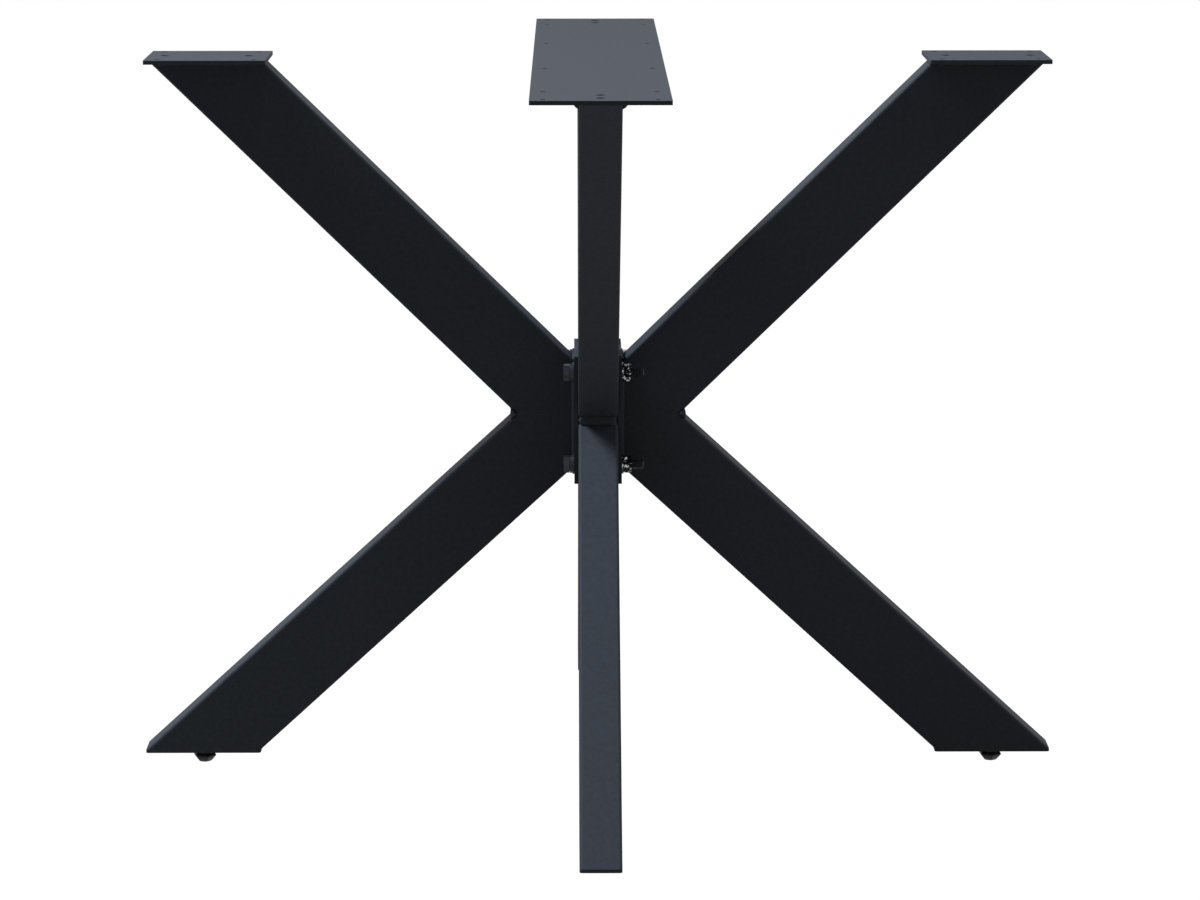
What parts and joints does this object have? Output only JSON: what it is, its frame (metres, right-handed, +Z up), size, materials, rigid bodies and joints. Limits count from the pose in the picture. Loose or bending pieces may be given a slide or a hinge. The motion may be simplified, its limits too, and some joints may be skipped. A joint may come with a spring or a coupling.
{
  "type": "table base",
  "caption": "Crossed table base of welded and bolted rectangular steel tube: arms slope from a hub up to flat top plates, and legs slope down to levelling feet.",
  "frame": {"origin": "on the floor under the middle of the hub, at the centre of the footprint", "axes": "+Z up; the long centre plate runs along Y, with the front at -Y; the side arms and legs run along X, with the right side at +X"},
  "size_m": [0.932, 0.932, 0.73],
  "materials": {
    "powder_coat": "fine textured satin",
    "zinc_steel": "bright zinc plated",
    "black_steel": "black oxide",
    "glide_plastic": "moulded, glossy"
  },
  "bodies": {
    "frame": {"centre_top_plate": "powder_coat", "left_top_plate": "powder_coat", "right_top_plate": "powder_coat", "front_upper_arm": "powder_coat", "front_lower_leg": "powder_coat", "front_foot_plate": "powder_coat", "rear_upper_arm": "powder_coat", "rear_lower_leg": "powder_coat", "rear_foot_plate": "powder_coat", "left_upper_arm": "powder_coat", "left_lower_leg": "powder_coat", "left_foot_plate": "powder_coat", "right_upper_arm": "powder_coat", "right_lower_leg": "powder_coat", "right_foot_plate": "powder_coat", "left_hub_plate": "powder_coat", "right_hub_plate": "powder_coat", "centre_frame_welds": "powder_coat", "left_frame_welds": "powder_coat", "right_frame_welds": "powder_coat", "hub_nut_washers": "zinc_steel", "hub_nuts": "zinc_steel", "front_weld_nut": "zinc_steel", "rear_weld_nut": "zinc_steel", "left_weld_nut": "zinc_steel", "right_weld_nut": "zinc_steel", "hub_bolts": "black_steel", "hub_head_washers": "black_steel", "hub_lock_washers": "black_steel"},
    "front_foot": {"front_foot_stud": "zinc_steel", "front_foot_glide": "glide_plastic"},
    "rear_foot": {"rear_foot_stud": "zinc_steel", "rear_foot_glide": "glide_plastic"},
    "left_foot": {"left_foot_stud": "zinc_steel", "left_foot_glide": "glide_plastic"},
    "right_foot": {"right_foot_stud": "zinc_steel", "right_foot_glide": "glide_plastic"}
  },
  "joints": [
    {"name": "front_foot_travel", "type": "slide", "parent": "frame", "child": "front_foot", "axis": [0, 0, -1], "range_m": [0, 0.01]},
    {"name": "rear_foot_travel", "type": "slide", "parent": "frame", "child": "rear_foot", "axis": [0, 0, -1], "range_m": [0, 0.01]},
    {"name": "left_foot_travel", "type": "slide", "parent": "frame", "child": "left_foot", "axis": [0, 0, -1], "range_m": [0, 0.01]},
    {"name": "right_foot_travel", "type": "slide", "parent": "frame", "child": "right_foot", "axis": [0, 0, -1], "range_m": [0, 0.01]}
  ]
}
